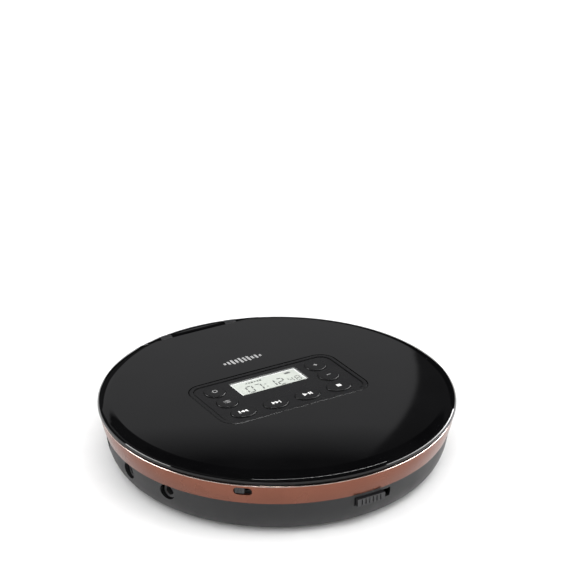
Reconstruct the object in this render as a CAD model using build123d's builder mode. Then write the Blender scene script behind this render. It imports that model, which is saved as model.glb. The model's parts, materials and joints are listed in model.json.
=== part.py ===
"""Portable compact-disc player: a round, pocketable player with its display and buttons in the lid.

The frame is +Z up with the origin on the surface that the rubber feet stand on, under the disc's centre.
-Y is the front, +Y the hinge side and +X the right-hand side. All sizes are in millimetres.
"""

import math
import os

from build123d import *

# ------------------------------------------------------------------ driving dimensions

CASE_BOTTOM = 1.0  # underside of the case, above the surface it stands on
BAND_LOW = 15.2  # lower edge of the metal-coloured band
BAND_TOP = 23.7
DECK_TOP = 24.2  # top of the deck's flange, just under the lid
LID_LOW = 24.7  # lower edge of the lid's skirt
LID_TOP = 28.8  # crown of the lid

LID_RADIUS = 70.0
LID_SHOULDER_RADIUS = 58.0  # the nearly flat top is LID_SHOULDER_TOP high here
LID_SHOULDER_TOP = 28.25
LID_ROLL_LOW = 25.0  # where the edge's roll has become upright
LID_ROLL = 2.4  # radius of the edge's roll
LID_ROLL_TURN = 58.0  # degrees from upright to where the roll meets the softer shoulder
LID_SHOULDER_START = 65.1  # radius at which the top starts to fall away
LID_WALL = 1.6

CASE_FLAT_RADIUS = 58.0  # flat part of the underside
CASE_RADIUS = 67.2  # at the band
CASE_WALL = 1.4
LIP_INNER, LIP_OUTER, LIP_TOP = 64.2, 65.7, 16.6  # upstand of the case that centres the band

WELL_RADIUS = 61.0  # disc well, for a disc of 60 mm radius
WELL_WALL = 1.0
WELL_FLOOR = 18.3
DECK_UNDER = 17.1

DISC_SEAT = 19.9  # underside of a disc in place
DISC_HOLE_PIN = 7.4

LINER_LOW = 22.7  # underside of the lid's liner
LINER_BOSS_TOP = 25.3  # where the liner's screw bosses meet the lid's
LINER_DISH_RADIUS = 60.3
CHORD = 61.6  # the lid ends in a straight edge here, in front of its hinge
HINGE_Y, HINGE_Z = 64.9, 25.3
HINGE_BARREL = 2.7
PIN_RADIUS = 0.9
KNUCKLE_IN, KNUCKLE_OUT = 12.5, 17.5  # the lid's two hinge knuckles, along X
GAP = 0.3

PANEL_CENTRE = (0.2, -0.9)
PANEL_SIZE = (65.4, 35.6)
PANEL_CORNER = 6.5
PANEL_TOP = 28.62
PANEL_FIELD = 28.36  # sunk field inside the panel's raised border
PANEL_BORDER = 1.6
PANEL_GAP = 0.3  # gap round the panel, and below it the depth of the groove inside its border
PANEL_UNDER = 27.15
DISPLAY_CENTRE = (0.2, 6.7)
DISPLAY_SIZE = (29.8, 11.4)
LENS_LOW = 27.86  # underside of the display's clear lens

BUTTON_TRAVEL = 0.5
SIDE_X = 22.9  # side columns of round buttons
ROW_X = (7.1, 21.4)  # lower row of oval buttons
ROUND_BUTTON = (4.2, 4.2)  # half sizes
OVAL_BUTTON = (5.2, 3.9)
BUTTONS = {
    "button_mode": ((-SIDE_X, 8.7), ROUND_BUTTON),
    "button_program": ((-SIDE_X, -1.2), ROUND_BUTTON),
    "button_previous": ((-ROW_X[1], -11.3), OVAL_BUTTON),
    "button_next": ((-ROW_X[0], -11.3), OVAL_BUTTON),
    "button_play": ((ROW_X[0], -11.3), OVAL_BUTTON),
    "button_stop": ((ROW_X[1], -11.3), OVAL_BUTTON),
    "button_volume_down": ((SIDE_X, -1.2), ROUND_BUTTON),
    "button_volume_up": ((SIDE_X, 8.7), ROUND_BUTTON),
}

SCREW_XY = 38.2  # case screws, on a square
FOOT_PLACES = ((-46.0, 20.0), (46.0, 20.0), (-28.0, -42.0), (28.0, -42.0))
LID_SCREW_PLACES = ((-46.0, -26.0), (46.0, -26.0), (-46.0, 26.0), (46.0, 26.0), (0.0, -54.0))

HOLD_ANGLE, HOLD_Z = -41.0, 20.8  # angles run from the front, positive towards the right
PHONES_ANGLE, LINE_ANGLE, POWER_ANGLE = -68.0, -87.0, -108.0
JACK_Z, JACK_BORE, JACK_DEPTH = 12.3, 1.8, 12.5
JACK_MOUTH = 65.2  # radius at which the jack's nozzle ends, inside the case wall
HOLD_REST = -1.25  # the knob rests this far to the left of its slot's middle
SWITCH_ANGLE = 62.0  # the switch that feels the lid
SWITCH_RADIUS = 64.4
SWITCH_XY = (
    SWITCH_RADIUS * math.sin(math.radians(SWITCH_ANGLE)),
    -SWITCH_RADIUS * math.cos(math.radians(SWITCH_ANGLE)),
)
SLIDER_END_X = 5.0  # right-hand end of the release slide's catch bar
SPRING_STOP_X = (11.5, 13.0)

BAY_X, BAY_Y = 27.5, (18.7, 48.7)  # inside of the battery bay
BAY_TOP, BAY_WALL = 16.9, 1.4
CELL_RADIUS, CELL_Y, CELL_Z = 7.1, (26.1, 41.2), 9.7
DOOR_HINGE_Y, DOOR_HINGE_Z = 49.4, 1.7
DOOR_X, DOOR_FRONT_Y = 27.2, 18.3

CHASSIS_LOW, CHASSIS_TOP = 13.5, 15.1
DAMPER_LOW, POST_TOP = 12.7, 16.0
SMALL_HEAD, SMALL_SHANK = (2.2, 0.9), 2.4
BALL_Z = 20.85  # height of the balls that hold the disc on the turntable
DAMPER_PLACES = ((-19.5, 8.0), (27.0, 6.0), (-19.5, -44.0), (27.0, -42.0))
RAIL_X, RAIL_Z, RAIL_RADIUS = 13.0, 11.3, 1.0
RAIL_Y = (-60.5, -9.9)
LENS_Y = -24.0  # lens centre with the pickup at the inner end of its travel
SLED_LOW, SLED_TOP = 9.1, 13.2

RACK_MODULE, RACK_PITCH_X = 0.5, 16.9
IDLER_SMALL_TEETH, IDLER_LARGE_TEETH, PINION_TEETH = 14, 48, 12
TRAIN_MODULE = 0.4
IDLER_XY = (RACK_PITCH_X + RACK_MODULE * IDLER_SMALL_TEETH / 2, -26.0)
PINION_ANGLE = 50.0  # direction from the idler to the sled motor
TRAIN_REACH = TRAIN_MODULE * (IDLER_LARGE_TEETH + PINION_TEETH) / 2
PINION_XY = (
    IDLER_XY[0] + TRAIN_REACH * math.cos(math.radians(PINION_ANGLE)),
    IDLER_XY[1] + TRAIN_REACH * math.sin(math.radians(PINION_ANGLE)),
)

BOARD_LOW, BOARD_TOP = 15.4, 16.4
BOARD_SCREW_PLACES = ((-44.0, 8.0), (-38.0, -20.0), (-16.0, 56.5))
BOARD_RADIUS = 63.9
LID_BOARD_LOW, LID_BOARD_TOP = 24.2, 25.2

os.makedirs("parts", exist_ok=True)


# ------------------------------------------------------------------ helpers


def save(piece, name):
    """Labels a finished part and writes its STEP file."""
    piece.label = name
    export_step(piece, f"parts/{name}.step")


def side_plane(angle, radius, z):
    """A plane facing out of the player's side: local x runs along the side, y is up, z points outward."""
    a = math.radians(angle)
    return Plane(
        origin=(radius * math.sin(a), -radius * math.cos(a), z),
        x_dir=(math.cos(a), math.sin(a), 0),
        z_dir=(math.sin(a), -math.cos(a), 0),
    )


def block(x, y, z):
    """A box from low and high limits, as a loose solid to add or subtract."""
    size = (x[1] - x[0], y[1] - y[0], z[1] - z[0])
    middle = ((x[0] + x[1]) / 2, (y[0] + y[1]) / 2, (z[0] + z[1]) / 2)
    return Pos(*middle) * Box(*size, mode=Mode.PRIVATE)


def rod(x, y, z, radius):
    """An upright cylinder between two heights, as a loose solid."""
    return Pos(x, y, (z[0] + z[1]) / 2) * Cylinder(radius, z[1] - z[0], mode=Mode.PRIVATE)


def hinge_rod(x, radius):
    """A cylinder along the lid's hinge axis between two X values, as a loose solid."""
    middle = Pos((x[0] + x[1]) / 2, HINGE_Y, HINGE_Z)
    return middle * Rot(0, 90, 0) * Cylinder(radius, x[1] - x[0], mode=Mode.PRIVATE)


def coil(radius, wire, length, turns):
    """A coil spring whose centre line starts at the origin and rises along Z."""
    with BuildPart() as spring:
        with BuildLine():
            path = Helix(pitch=length / turns, height=length, radius=radius)
        with BuildSketch(Plane(origin=path @ 0, z_dir=path % 0)):
            Circle(wire)
        sweep()
    return spring.part


def involute(angle):
    return math.tan(angle) - angle


def gear_outline(module, teeth, turn=0.0, width_share=0.43, steps=4):
    """Points round an involute spur gear, with a tooth centred on the direction turn, in degrees."""
    pressure = math.radians(20)
    pitch = module * teeth / 2
    base, tip, root = pitch * math.cos(pressure), pitch + 0.9 * module, pitch - 1.2 * module
    start = max(base, root)
    half = math.pi * width_share / teeth + involute(pressure)
    points = []
    for tooth in range(teeth):
        middle = math.radians(turn) + 2 * math.pi * tooth / teeth
        flank = [(root, half - involute(math.acos(min(1, base / start))))]
        for step in range(steps + 1):
            radius = start + (tip - start) * step / steps
            flank.append((radius, half - involute(math.acos(min(1, base / radius)))))
        if flank[0][0] >= flank[1][0]:
            flank = flank[1:]
        for radius, off in flank:
            points.append((radius * math.cos(middle - off), radius * math.sin(middle - off)))
        for radius, off in reversed(flank):
            points.append((radius * math.cos(middle + off), radius * math.sin(middle + off)))
    return points


# ------------------------------------------------------------------ shells that several parts are cut from

def dome(radius):
    """Height of the lid's nearly flat top at a distance from its middle."""
    return LID_TOP - (LID_TOP - LID_SHOULDER_TOP) * (radius / LID_SHOULDER_RADIUS) ** 2


turn = math.radians(LID_ROLL_TURN)
roll_end = (
    LID_RADIUS - LID_ROLL * (1 - math.cos(turn)),
    LID_ROLL_LOW + LID_ROLL * math.sin(turn),
)

with BuildPart() as lid_envelope:
    with BuildSketch(Plane.XZ):
        with BuildLine():
            ThreePointArc(
                (0, LID_TOP),
                (LID_SHOULDER_START / 2, dome(LID_SHOULDER_START / 2)),
                (LID_SHOULDER_START, dome(LID_SHOULDER_START)),
            )
            TangentArc((LID_SHOULDER_START, dome(LID_SHOULDER_START)), roll_end, tangent=(1, -0.02))
            CenterArc((LID_RADIUS - LID_ROLL, LID_ROLL_LOW), LID_ROLL, 0, LID_ROLL_TURN)
            Polyline(
                (LID_RADIUS, LID_ROLL_LOW),
                (LID_RADIUS, LID_LOW + 0.2),
                (LID_RADIUS - 0.2, LID_LOW),
                (0, LID_LOW),
                (0, LID_TOP),
            )
        make_face()
    revolve(axis=Axis.Z)

with BuildPart() as lid_hollow:
    with BuildSketch(Plane.XZ):
        with BuildLine():
            ThreePointArc(
                (0, LID_TOP - LID_WALL),
                (28.75, LID_TOP - LID_WALL - 0.14),
                (57.5, LID_SHOULDER_TOP - LID_WALL),
            )
            EllipticalCenterArc((57.5, LID_LOW + 0.2), 10.8, 1.75, start_angle=0, arc_size=90)
            Polyline(
                (68.3, LID_LOW + 0.2),
                (68.3, LID_LOW - 1),
                (0, LID_LOW - 1),
                (0, LID_TOP - LID_WALL),
            )
        make_face()
    revolve(axis=Axis.Z)

behind_chord = block((-80, 80), (CHORD, 80), (15, 35))
chord_wall = block((-80, 80), (CHORD - LID_WALL, 80), (15, 35))


# ------------------------------------------------------------------ lid

# the room inside the lid, less its rear wall and the bosses for the liner's screws
lid_room = lid_hollow.part - chord_wall
for place in LID_SCREW_PLACES:
    lid_room -= rod(*place, (LINER_BOSS_TOP, LID_TOP), 2.6)

with BuildPart() as lid_shell:
    add(lid_envelope.part - behind_chord)
    add(lid_room, mode=Mode.SUBTRACT)
    for place in LID_SCREW_PLACES:
        add(rod(*place, (LINER_BOSS_TOP - 1, LINER_BOSS_TOP + 1.7), 0.85), mode=Mode.SUBTRACT)
    # opening for the control panel
    with BuildSketch(Plane.XY.offset(LID_LOW - 1)):
        with Locations(PANEL_CENTRE):
            opening = (PANEL_SIZE[0] + 2 * PANEL_GAP, PANEL_SIZE[1] + 2 * PANEL_GAP)
            RectangleRounded(*opening, PANEL_CORNER + PANEL_GAP)
    extrude(amount=10, mode=Mode.SUBTRACT)
    # passages through the rear wall for the hinge arms
    for side in (-1, 1):
        arm = sorted((side * (KNUCKLE_IN - GAP), side * (KNUCKLE_OUT + GAP)))
        add(block(arm, (59.5, 63), (LID_LOW - 1, 26.4)), mode=Mode.SUBTRACT)
save(lid_shell.part, "lid_shell")

with BuildPart() as lid_liner:
    with BuildSketch(Plane.XZ):
        with BuildLine():
            Polyline(
                (0, LINER_LOW),
                (LINER_DISH_RADIUS - GAP, LINER_LOW),
                (LINER_DISH_RADIUS, LINER_LOW + GAP),
                (LINER_DISH_RADIUS, LID_LOW),
                (67.4, LID_LOW),
                (67.4, LID_LOW + 0.6),
                (LINER_DISH_RADIUS - 1, LID_LOW + 0.6),
                (LINER_DISH_RADIUS - 1, LINER_LOW + 1),
                (0, LINER_LOW + 1),
                (0, LINER_LOW),
            )
        make_face()
    revolve(axis=Axis.Z)
    # two shallow rings that mark where the disc lies
    with BuildSketch(Plane.XY.offset(LINER_LOW)):
        for radius in (20.0, 56.0):
            Circle(radius)
            Circle(radius - 1, mode=Mode.SUBTRACT)
    extrude(amount=0.3, mode=Mode.SUBTRACT)
    with BuildSketch(Plane.XY.offset(LINER_LOW)):
        Circle(9.0)
    extrude(amount=0.4, mode=Mode.SUBTRACT)
    add(block((-80, 80), (CHORD - LID_WALL - 0.1, 80), (LID_LOW - 0.01, 30)), mode=Mode.SUBTRACT)
    # stand-offs for the lid's board
    with BuildSketch(Plane.XY.offset(LINER_LOW + 0.9)):
        with Locations((-29, 14), (29, 14), (-29, -16), (29, -16)):
            Circle(2.0)
    extrude(amount=LID_BOARD_LOW - LINER_LOW - 0.9)
    # bosses round the screws, with a recess for each head
    with BuildSketch(Plane.XY.offset(LINER_LOW + 0.5)):
        with Locations(*LID_SCREW_PLACES):
            Circle(3.2)
    extrude(amount=LINER_BOSS_TOP - LINER_LOW - 0.5)
    with BuildSketch(Plane.XY.offset(LINER_LOW)):
        with Locations(*LID_SCREW_PLACES):
            Circle(2.1)
    extrude(amount=1.4, mode=Mode.SUBTRACT)
    with BuildSketch(Plane.XY.offset(LINER_LOW)):
        with Locations(*LID_SCREW_PLACES):
            Circle(1.0)
    extrude(amount=3, mode=Mode.SUBTRACT)
    # passage for the ribbon
    add(block((-6.2, 6.2), (57, 62), (LINER_LOW + 1, 26)), mode=Mode.SUBTRACT)
    # hinge arms and knuckles
    for side in (-1, 1):
        arm = sorted((side * KNUCKLE_IN, side * KNUCKLE_OUT))
        add(block(arm, (58.6, HINGE_Y), (LID_LOW, 26.2)))
        add(hinge_rod(arm, HINGE_BARREL) & (lid_envelope.part + block(arm, (60, 70), (20, 25))))
        add(hinge_rod(arm, PIN_RADIUS + 0.06), mode=Mode.SUBTRACT)
    # latch hook at the front
    add(block((-12, -9.4), (-65.2, -63.8), (18.9, LID_LOW + 0.3)))
    add(block((-12, -7.0), (-65.2, -63.8), (18.9, 20.1)))
save(lid_liner.part, "lid_liner")

with BuildPart() as control_panel:
    with BuildSketch(Plane.XY.offset(PANEL_UNDER)):
        with Locations(PANEL_CENTRE):
            RectangleRounded(*PANEL_SIZE, PANEL_CORNER)
    extrude(amount=PANEL_TOP - PANEL_UNDER)
    chamfer(control_panel.faces().sort_by(Axis.Z)[-1].edges(), 0.2)
    inner = (PANEL_SIZE[0] - 2 * PANEL_BORDER, PANEL_SIZE[1] - 2 * PANEL_BORDER)
    with BuildSketch(Plane.XY.offset(PANEL_FIELD)):
        with Locations(PANEL_CENTRE):
            RectangleRounded(*inner, PANEL_CORNER - PANEL_BORDER)
    extrude(amount=1, mode=Mode.SUBTRACT)
    # groove between the border and the field
    with BuildSketch(Plane.XY.offset(PANEL_FIELD - PANEL_GAP)):
        with Locations(PANEL_CENTRE):
            RectangleRounded(*inner, PANEL_CORNER - PANEL_BORDER)
            RectangleRounded(inner[0] - 1, inner[1] - 1, PANEL_CORNER - PANEL_BORDER - 0.5, mode=Mode.SUBTRACT)
    extrude(amount=1, mode=Mode.SUBTRACT)
    # flange under the lid shell, which traps the panel
    with BuildSketch(Plane.XY.offset(26.0)):
        with Locations(PANEL_CENTRE):
            RectangleRounded(PANEL_SIZE[0] + 3, PANEL_SIZE[1] + 3, PANEL_CORNER + 1.5)
            RectangleRounded(*inner, PANEL_CORNER - PANEL_BORDER, mode=Mode.SUBTRACT)
    extrude(amount=0.95)
    with BuildSketch(Plane.XY.offset(26.0)):
        with Locations(PANEL_CENTRE):
            RectangleRounded(*PANEL_SIZE, PANEL_CORNER)
            RectangleRounded(*inner, PANEL_CORNER - PANEL_BORDER, mode=Mode.SUBTRACT)
    extrude(amount=1.5)
    # display window and button holes
    with BuildSketch(Plane.XY.offset(PANEL_UNDER)):
        with Locations(DISPLAY_CENTRE):
            Rectangle(*DISPLAY_SIZE)
        for place, half in BUTTONS.values():
            with Locations(place):
                Ellipse(half[0] + 0.2, half[1] + 0.2)
    extrude(amount=3, mode=Mode.SUBTRACT)
save(control_panel.part, "control_panel")

for name, (place, half) in BUTTONS.items():
    with BuildPart() as button:
        with BuildSketch(Plane.XY.offset(26.95)):
            with Locations(place):
                Ellipse(*half)
        extrude(amount=PANEL_FIELD + 0.55 - 26.95)
        fillet(button.faces().sort_by(Axis.Z)[-1].edges(), 0.4)
        with BuildSketch(Plane.XY.offset(26.35)):
            with Locations(place):
                Ellipse(half[0] + 0.7, half[1] + 0.7)
        extrude(amount=0.6)
        with BuildSketch(Plane.XY.offset(26.15)):
            with Locations(place):
                Circle(1.4)
        extrude(amount=0.3)
    save(button.part, name)

with BuildPart() as display_lens:
    with BuildSketch(Plane.XY.offset(LENS_LOW)):
        with Locations(DISPLAY_CENTRE):
            Rectangle(DISPLAY_SIZE[0] - 0.04, DISPLAY_SIZE[1] - 0.04)
    extrude(amount=PANEL_FIELD - LENS_LOW)
save(display_lens.part, "display_lens")

# each step of the module reaches higher, and the last fills the panel's window under the lens
with BuildPart() as display_module:
    steps = ((5.2, 5.2, LID_BOARD_TOP + 1.1), (3.2, 3.4, LID_BOARD_TOP + 1.5), (-0.3, -0.3, LENS_LOW))
    for wider, deeper, top in steps:
        with BuildSketch(Plane.XY.offset(LID_BOARD_TOP)):
            with Locations(DISPLAY_CENTRE):
                Rectangle(DISPLAY_SIZE[0] + wider, DISPLAY_SIZE[1] + deeper)
        extrude(amount=top - LID_BOARD_TOP)
save(display_module.part, "display_module")

with BuildPart() as button_board:
    with BuildSketch(Plane.XY.offset(LID_BOARD_LOW)):
        with Locations(PANEL_CENTRE):
            RectangleRounded(64, 37, 4)
    extrude(amount=LID_BOARD_TOP - LID_BOARD_LOW)
    with Locations((0, 16.7, LID_BOARD_TOP + 0.35)):
        Box(11.4, 1.4, 0.7)
save(button_board.part, "button_board")

with BuildPart() as dome_switches:
    for place, half in BUTTONS.values():
        with Locations((place[0], place[1], LID_BOARD_TOP + 0.06)):
            Cylinder(2.4, 0.12)
        with BuildSketch(Plane.XY.offset(LID_BOARD_TOP + 0.1)):
            with Locations(place):
                Circle(2.1)
        extrude(amount=0.3, taper=55)
save(dome_switches.part, "dome_switches")


def screws(places, head, shank, seat, tip, upward=True):
    """Pan-head screws with a cross recess, all alike. seat is where the head bears and tip where the shank ends."""
    head_radius, head_height = head
    low = (seat - head_height, seat) if upward else (seat, seat + head_height)
    with BuildPart() as group:
        for x, y in places:
            head_solid = rod(x, y, low, head_radius)
            face = low[0] if upward else low[1]
            for turn in (0, 90):
                slot = Box(head_radius * 1.1, 0.5, 0.9, mode=Mode.PRIVATE)
                head_solid -= Pos(x, y, face) * Rot(0, 0, turn) * slot
            add(head_solid)
            add(rod(x, y, sorted((seat, tip)), shank))
    return group.part


save(
    screws(LID_SCREW_PLACES, (1.9, 1.0), 0.8, LINER_LOW + 1.4, 26.9),
    "lid_screws",
)

with BuildPart() as display_ribbon:
    with BuildSketch(Plane.YZ.offset(-5)):
        with BuildLine() as ribbon_line:
            FilletPolyline(
                (17.4, 25.6), (30, 25.6), (44, 24.1), (62.65, 24.1), (62.65, 18.4), radius=0.7
            )
        trace(line_width=0.22)
    extrude(amount=10)
save(display_ribbon.part, "display_ribbon")


# ------------------------------------------------------------------ base: band, deck and hinge

with BuildPart() as side_band:
    with BuildSketch(Plane.XZ):
        with BuildLine():
            ThreePointArc((CASE_RADIUS + 0.1, BAND_LOW), (68.62, 19.3), (69.3, BAND_TOP - 0.5))
            Polyline((69.3, BAND_TOP - 0.5), (68.8, BAND_TOP), (67.9, BAND_TOP))
            ThreePointArc((67.9, BAND_TOP), (67.15, 19.3), (65.9, BAND_LOW))
            Line((65.9, BAND_LOW), (CASE_RADIUS + 0.1, BAND_LOW))
        make_face()
    revolve(axis=Axis.Z)
    with BuildSketch(side_plane(HOLD_ANGLE, 62, HOLD_Z)):
        SlotOverall(7.0, 3.2)
    extrude(amount=10, mode=Mode.SUBTRACT)
    for side in (-1, 1):
        arm = sorted((side * (KNUCKLE_IN - GAP), side * (KNUCKLE_OUT + GAP)))
        add(hinge_rod(arm, HINGE_BARREL + GAP), mode=Mode.SUBTRACT)
save(side_band.part, "side_band")

with BuildPart() as hinge_lugs:
    barrel = hinge_rod((-35, 35), HINGE_BARREL + 0.2) + block((-35, 35), (HINGE_Y, 71), (23, 30))
    foot = block((-35, 35), (61.5, 71), (BAND_TOP, 24.8)) & rod(0, 0, (20, 30), 68.2)
    add(barrel & (lid_envelope.part + foot))
    for side in (-1, 1):
        arm = sorted((side * (KNUCKLE_IN - GAP), side * (KNUCKLE_OUT + GAP)))
        add(block(arm, (60, 71), (20, 30)), mode=Mode.SUBTRACT)
        pin = sorted((side * 8.8, side * 20.7))
        add(hinge_rod(pin, PIN_RADIUS + 0.02), mode=Mode.SUBTRACT)
    add(block((-6.5, 6.5), (60, 63.4), (20, 30)), mode=Mode.SUBTRACT)
save(hinge_lugs.part, "hinge_lugs")

with BuildPart() as hinge_pins:
    for side in (-1, 1):
        add(hinge_rod(sorted((side * 9.0, side * 20.5)), PIN_RADIUS))
save(hinge_pins.part, "hinge_pins")

with BuildPart() as deck:
    with BuildSketch(Plane.XZ):
        with BuildLine():
            Polyline(
                (0, DECK_UNDER),
                (WELL_RADIUS + WELL_WALL, DECK_UNDER),
                (WELL_RADIUS + WELL_WALL, DECK_TOP - 1),
                (67.7, DECK_TOP - 1),
                (67.7, BAND_TOP),
                (68.6, BAND_TOP),
                (68.6, DECK_TOP),
                (WELL_RADIUS, DECK_TOP),
                (WELL_RADIUS, WELL_FLOOR),
                (0, WELL_FLOOR),
                (0, DECK_UNDER),
            )
        make_face()
    revolve(axis=Axis.Z)
    # opening over the turntable and the pickup's slot
    with BuildSketch(Plane.XY.offset(DECK_UNDER - 1)):
        Circle(17.6)
        with Locations((0, -32.75)):
            RectangleRounded(17, 55.5, 3)
    extrude(amount=3, mode=Mode.SUBTRACT)
    # pillars for the case screws
    with BuildSketch(Plane.XY.offset(9.0)):
        with GridLocations(2 * SCREW_XY, 2 * SCREW_XY, 2, 2):
            Circle(3.0)
    extrude(amount=DECK_UNDER - 9.0 + 0.2)
    with BuildSketch(Plane.XY.offset(9.0)):
        with GridLocations(2 * SCREW_XY, 2 * SCREW_XY, 2, 2):
            Circle(1.15)
    extrude(amount=7.2, mode=Mode.SUBTRACT)
    # spacers for the main board
    with BuildSketch(Plane.XY.offset(BOARD_TOP)):
        with Locations(*BOARD_SCREW_PLACES):
            Circle(2.2)
    extrude(amount=DECK_UNDER - BOARD_TOP + 0.2)
    with BuildSketch(Plane.XY.offset(BOARD_TOP)):
        with Locations(*BOARD_SCREW_PLACES):
            Circle(0.85)
    extrude(amount=1.5, mode=Mode.SUBTRACT)
    # stop for the latch spring, under the flange
    add(block(SPRING_STOP_X, (-65.2, -61.5), (19.5, DECK_TOP - 0.5)))
    # slot for the latch hook and hole for the lid switch's plunger
    add(block((-12.8, -6.3), (-66.1, -63.1), (20, 30)), mode=Mode.SUBTRACT)
    add(rod(*SWITCH_XY, (22, 30), 1.1), mode=Mode.SUBTRACT)
    # hinge: seat for the lugs, clearance for the knuckles, slot for the ribbon
    seat = block((-35, 35), (61.9, 71), (BAND_TOP, 30)) & rod(0, 0, (20, 40), 68.7)
    add(seat, mode=Mode.SUBTRACT)
    for side in (-1, 1):
        arm = sorted((side * (KNUCKLE_IN - GAP), side * (KNUCKLE_OUT + GAP)))
        add(hinge_rod(arm, HINGE_BARREL + GAP), mode=Mode.SUBTRACT)
    add(block((-6.2, 6.2), (60.5, 63.4), (22.6, 30)), mode=Mode.SUBTRACT)
save(deck.part, "deck")

# ------------------------------------------------------------------ bottom case and battery bay

with BuildPart() as bottom_case:
    with BuildSketch(Plane.XZ):
        with BuildLine():
            Line((0, CASE_BOTTOM), (CASE_FLAT_RADIUS, CASE_BOTTOM))
            EllipticalCenterArc(
                (CASE_FLAT_RADIUS, BAND_LOW),
                CASE_RADIUS - CASE_FLAT_RADIUS,
                BAND_LOW - CASE_BOTTOM,
                start_angle=-90,
                arc_size=90,
            )
            Line((CASE_RADIUS, BAND_LOW), (65.8, BAND_LOW))
            EllipticalCenterArc(
                (57.6, BAND_LOW),
                65.8 - 57.6,
                BAND_LOW - CASE_BOTTOM - CASE_WALL,
                start_angle=-90,
                arc_size=90,
            )
            Polyline((57.6, CASE_BOTTOM + CASE_WALL), (0, CASE_BOTTOM + CASE_WALL), (0, CASE_BOTTOM))
        make_face()
    revolve(axis=Axis.Z)
    # upstand inside the band
    with BuildSketch(Plane.XY.offset(13.6)):
        Circle(66.2)
        Circle(LIP_INNER, mode=Mode.SUBTRACT)
    extrude(amount=BAND_LOW - 13.6)
    with BuildSketch(Plane.XY.offset(13.6)):
        Circle(LIP_OUTER)
        Circle(LIP_INNER, mode=Mode.SUBTRACT)
    extrude(amount=LIP_TOP - 13.6)
    # battery bay and its open bottom
    add(
        block(
            (-BAY_X - BAY_WALL, BAY_X + BAY_WALL),
            (BAY_Y[0] - BAY_WALL, BAY_Y[1] + BAY_WALL),
            (CASE_BOTTOM + 0.5, BAY_TOP),
        )
    )
    add(block((-BAY_X, BAY_X), BAY_Y, (0, 30)), mode=Mode.SUBTRACT)
    add(
        block((-BAY_X, BAY_X), (DOOR_FRONT_Y - GAP, DOOR_HINGE_Y + 0.9), (0, CASE_BOTTOM + 1.6)),
        mode=Mode.SUBTRACT,
    )
    with Locations((0, DOOR_HINGE_Y, DOOR_HINGE_Z)):
        Cylinder(0.46, 2 * BAY_X + 2.6, rotation=(0, 90, 0), mode=Mode.SUBTRACT)
    # tubes for the case screws, open from below
    with BuildSketch(Plane.XY.offset(CASE_BOTTOM + 0.5)):
        with GridLocations(2 * SCREW_XY, 2 * SCREW_XY, 2, 2):
            Circle(3.8)
    extrude(amount=9.0 - CASE_BOTTOM - 0.5)
    with BuildSketch(Plane.XY):
        with GridLocations(2 * SCREW_XY, 2 * SCREW_XY, 2, 2):
            Circle(2.6)
    extrude(amount=4.0, mode=Mode.SUBTRACT)
    with BuildSketch(Plane.XY):
        with GridLocations(2 * SCREW_XY, 2 * SCREW_XY, 2, 2):
            Circle(1.3)
    extrude(amount=10, mode=Mode.SUBTRACT)
    # posts for the drive's rubber mounts
    with BuildSketch(Plane.XY.offset(CASE_BOTTOM + 0.5)):
        with Locations(*DAMPER_PLACES):
            Circle(2.6)
    extrude(amount=DAMPER_LOW - CASE_BOTTOM - 0.5)
    with BuildSketch(Plane.XY.offset(CASE_BOTTOM + 0.5)):
        with Locations(*DAMPER_PLACES):
            Circle(1.5)
    extrude(amount=POST_TOP - CASE_BOTTOM - 0.5)
    with BuildSketch(Plane.XY.offset(11)):
        with Locations(*DAMPER_PLACES):
            Circle(0.85)
    extrude(amount=6, mode=Mode.SUBTRACT)
    # recesses for the feet
    with BuildSketch(Plane.XY):
        with Locations(*FOOT_PLACES):
            Circle(4.55)
    extrude(amount=CASE_BOTTOM + 0.4, mode=Mode.SUBTRACT)
    # openings in the side for the sockets
    for angle in (PHONES_ANGLE, LINE_ANGLE):
        with BuildSketch(side_plane(angle, 60, JACK_Z)):
            Circle(3.3)
        extrude(amount=10, mode=Mode.SUBTRACT)
    with BuildSketch(side_plane(POWER_ANGLE, 60, JACK_Z)):
        RectangleRounded(9.2, 4.4, 1.2)
    extrude(amount=10, mode=Mode.SUBTRACT)
    # opening for the lid's release slide, and a gap in the upstand behind it
    add(block((-6.4, 9.4), (-75, -62.5), (10.2, 14.0)), mode=Mode.SUBTRACT)
    add(block((-4.6, 7.6), (-65.4, -60), (13.0, 20)), mode=Mode.SUBTRACT)
save(bottom_case.part, "bottom_case")

with BuildPart() as battery_door:
    add(block((-DOOR_X, DOOR_X), (DOOR_FRONT_Y, DOOR_HINGE_Y), (CASE_BOTTOM, CASE_BOTTOM + 1.3)))
    with Locations((0, DOOR_HINGE_Y, DOOR_HINGE_Z)):
        Cylinder(0.65, 2 * DOOR_X, rotation=(0, 90, 0))
        Cylinder(0.4, 2 * DOOR_X + 2.4, rotation=(0, 90, 0))
    # finger grooves
    with BuildSketch(Plane.XY.offset(CASE_BOTTOM)):
        with GridLocations(0, 1.6, 1, 4):
            with Locations((0, DOOR_FRONT_Y + 5)):
                SlotOverall(14, 0.8)
    extrude(amount=0.35, mode=Mode.SUBTRACT)
save(battery_door.part, "battery_door")

with BuildPart() as battery_cells:
    for y, way in zip(CELL_Y, (1, -1)):
        with Locations((0, y, CELL_Z)):
            Cylinder(CELL_RADIUS, 49.2, rotation=(0, 90, 0))
        with Locations((way * 25.1, y, CELL_Z)):
            Cylinder(2.7, 1.0, rotation=(0, 90, 0))
save(battery_cells.part, "battery_cells")

with BuildPart() as battery_plates:
    for y, way in zip(CELL_Y, (1, -1)):
        for end in (-1, 1):
            add(block(sorted((end * 27.1, end * BAY_X)), (y - 5, y + 5), (5.0, 14.5)))
        with Locations((way * 26.35, y, CELL_Z)):
            Cylinder(2.2, 1.5, rotation=(0, 90, 0))
save(battery_plates.part, "battery_plates")

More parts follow.
